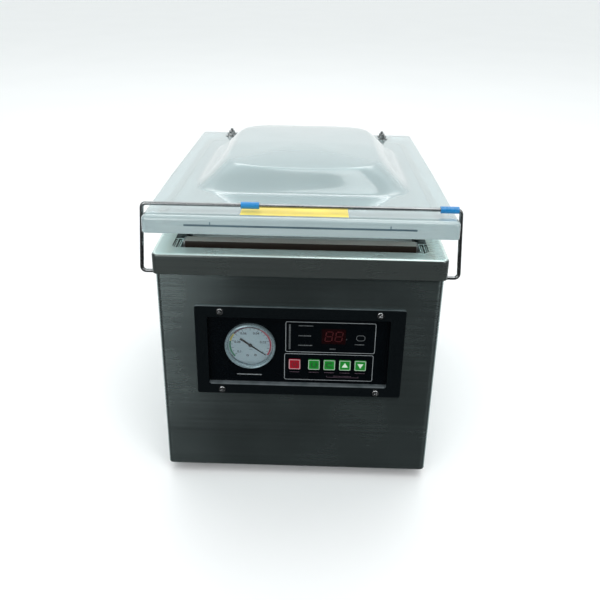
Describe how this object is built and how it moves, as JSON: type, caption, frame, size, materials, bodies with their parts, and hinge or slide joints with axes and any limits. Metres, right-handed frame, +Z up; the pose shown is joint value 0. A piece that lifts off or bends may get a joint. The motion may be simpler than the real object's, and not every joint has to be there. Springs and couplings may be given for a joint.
{
  "type": "chamber vacuum packing machine",
  "caption": "Desktop chamber vacuum packer: steel cabinet, domed clear lid on rear hinges, wire hold-down bail, heated seal bar, control panel with a vacuum gauge.",
  "frame": {"origin": "on the surface that the feet stand on, under the middle of the whole machine", "axes": "+X to the right seen from the front, +Y from the control panel to the back, +Z up"},
  "size_m": [0.3584, 0.4736, 0.3801],
  "materials": {
    "brushed_stainless": "brushed with a horizontal grain",
    "plated_steel": "zinc plated, satin",
    "bright_fasteners": "bright, turned",
    "black_rubber": "moulded, matt",
    "white_plastic": "matt polyethylene",
    "cast_aluminium": "machined",
    "port_brass": "turned",
    "spring_steel": "drawn wire, oiled",
    "ivory_nylon": "moulded nylon",
    "panel_black": "powder coat, fine texture",
    "overlay_film": "printed polyester film",
    "display_red": "tinted clear plastic",
    "circuit_board": "solder resist",
    "gauge_black": "stoved enamel",
    "bezel_chrome": "polished",
    "dial_white": "printed enamel",
    "gauge_glass": "clear",
    "key_red": "printed film over a dome key",
    "key_green": "printed film over a dome key",
    "pump_paint": "machine enamel over cast aluminium",
    "cowl_paint": "stoved enamel",
    "rotor_steel": "ground",
    "coil_plastic": "moulded",
    "copper_tube": "drawn tube",
    "transformer_steel": "varnished laminations",
    "black_plastic": "moulded",
    "lid_acrylic": "clear cast acrylic with polished edges",
    "gasket_silicone": "satin silicone",
    "channel_aluminium": "extruded",
    "strip_silicone": "satin silicone",
    "label_yellow": "plain vinyl film",
    "bail_steel": "drawn stainless wire",
    "sleeve_blue": "soft vinyl tube",
    "bar_aluminium": "extruded",
    "seal_cloth": "coated glass cloth"
  },
  "bodies": {
    "cabinet": {"cabinet_shell": "brushed_stainless", "rear_panel": "brushed_stainless", "chamber_pan": "brushed_stainless", "bar_guides": "brushed_stainless", "base_plate": "plated_steel", "hinge_bases": "plated_steel", "rear_screws": "bright_fasteners", "foot_screws": "bright_fasteners", "panel_screws": "bright_fasteners", "hinge_pins": "bright_fasteners", "feet": "black_rubber", "pump_mounts": "black_rubber", "vacuum_hose": "black_rubber", "filler_plate": "white_plastic", "lift_cylinders": "cast_aluminium", "valve_block": "cast_aluminium", "vacuum_port": "port_brass", "lid_springs": "spring_steel", "bail_bushes": "ivory_nylon", "panel_frame": "panel_black", "panel_overlay": "overlay_film", "display_lens": "display_red", "control_board": "circuit_board", "gauge_case": "gauge_black", "gauge_bezel": "bezel_chrome", "gauge_dial": "dial_white", "gauge_lens": "gauge_glass", "pump_motor": "pump_paint", "pump_casing": "pump_paint", "oil_case": "pump_paint", "fan_cowl": "cowl_paint", "valve_coils": "coil_plastic", "gauge_tube": "copper_tube", "transformer": "transformer_steel", "cord_gland": "black_plastic", "switch_housing": "black_plastic", "lid_switch": "black_plastic"},
    "lid": {"lid_shell": "lid_acrylic", "lid_gasket": "gasket_silicone", "counter_channel": "channel_aluminium", "counter_strip": "strip_silicone", "counter_screws": "bright_fasteners", "hinge_straps": "plated_steel", "hinge_bolts": "bright_fasteners", "hinge_nuts": "bright_fasteners", "lid_label": "label_yellow"},
    "bail": {"bail_wire": "bail_steel", "bail_sleeves": "sleeve_blue"},
    "seal_bar_carrier": {"seal_bar": "bar_aluminium", "seal_tape": "seal_cloth", "lift_rods": "rotor_steel"},
    "stop_key": {"stop_key": "key_red"},
    "vacuum_key": {"vacuum_key": "key_green"},
    "set_key": {"set_key": "key_green"},
    "up_key": {"up_key": "key_green"},
    "down_key": {"down_key": "key_green"},
    "gauge_needle": {"gauge_needle": "gauge_black"},
    "switch_rocker": {"switch_rocker": "black_plastic"},
    "switch_plunger": {"switch_plunger": "ivory_nylon"},
    "motor_rotor": {"motor_rotor": "rotor_steel"}
  },
  "joints": [
    {"name": "lid_hinge", "type": "hinge", "parent": "cabinet", "child": "lid", "pos_m": [0, 0.22775, 0.31], "axis": [-1, 0, 0], "range_deg": [-2.9, 50], "stiffness_Nm_per_rad": 8, "springref_deg": 44.69},
    {"name": "bail_swing", "type": "hinge", "parent": "cabinet", "child": "bail", "pos_m": [0, -0.21675, 0.2772], "axis": [1, 0, 0], "range_deg": [0, 160]},
    {"name": "seal_bar_lift", "type": "slide", "parent": "cabinet", "child": "seal_bar_carrier", "axis": [0, 0, 1], "range_m": [0, 0.006]},
    {"name": "stop_key_press", "type": "slide", "parent": "cabinet", "child": "stop_key", "axis": [0, 1, 0], "range_m": [0, 0.0007], "stiffness_N_per_m": 300},
    {"name": "vacuum_key_press", "type": "slide", "parent": "cabinet", "child": "vacuum_key", "axis": [0, 1, 0], "range_m": [0, 0.0007], "stiffness_N_per_m": 300},
    {"name": "set_key_press", "type": "slide", "parent": "cabinet", "child": "set_key", "axis": [0, 1, 0], "range_m": [0, 0.0007], "stiffness_N_per_m": 300},
    {"name": "up_key_press", "type": "slide", "parent": "cabinet", "child": "up_key", "axis": [0, 1, 0], "range_m": [0, 0.0007], "stiffness_N_per_m": 300},
    {"name": "down_key_press", "type": "slide", "parent": "cabinet", "child": "down_key", "axis": [0, 1, 0], "range_m": [0, 0.0007], "stiffness_N_per_m": 300},
    {"name": "gauge_needle_turn", "type": "hinge", "parent": "cabinet", "child": "gauge_needle", "pos_m": [-0.0565, -0.22525, 0.187], "axis": [0, -1, 0], "range_deg": [0, 250], "stiffness_Nm_per_rad": 0.002, "springref_deg": -2.86},
    {"name": "switch_rocker_tilt", "type": "hinge", "parent": "cabinet", "child": "switch_rocker", "pos_m": [0.1, 0.20735, 0.059], "axis": [0, 0, -1], "range_deg": [0, 16]},
    {"name": "switch_plunger_press", "type": "slide", "parent": "cabinet", "child": "switch_plunger", "axis": [0, 0, -1], "range_m": [0, 0.002], "stiffness_N_per_m": 200, "springref_m": -0.001},
    {"name": "motor_spin", "type": "hinge", "parent": "cabinet", "child": "motor_rotor", "pos_m": [0, 0.07075, 0.09], "axis": [1, 0, 0], "continuous": true}
  ]
}
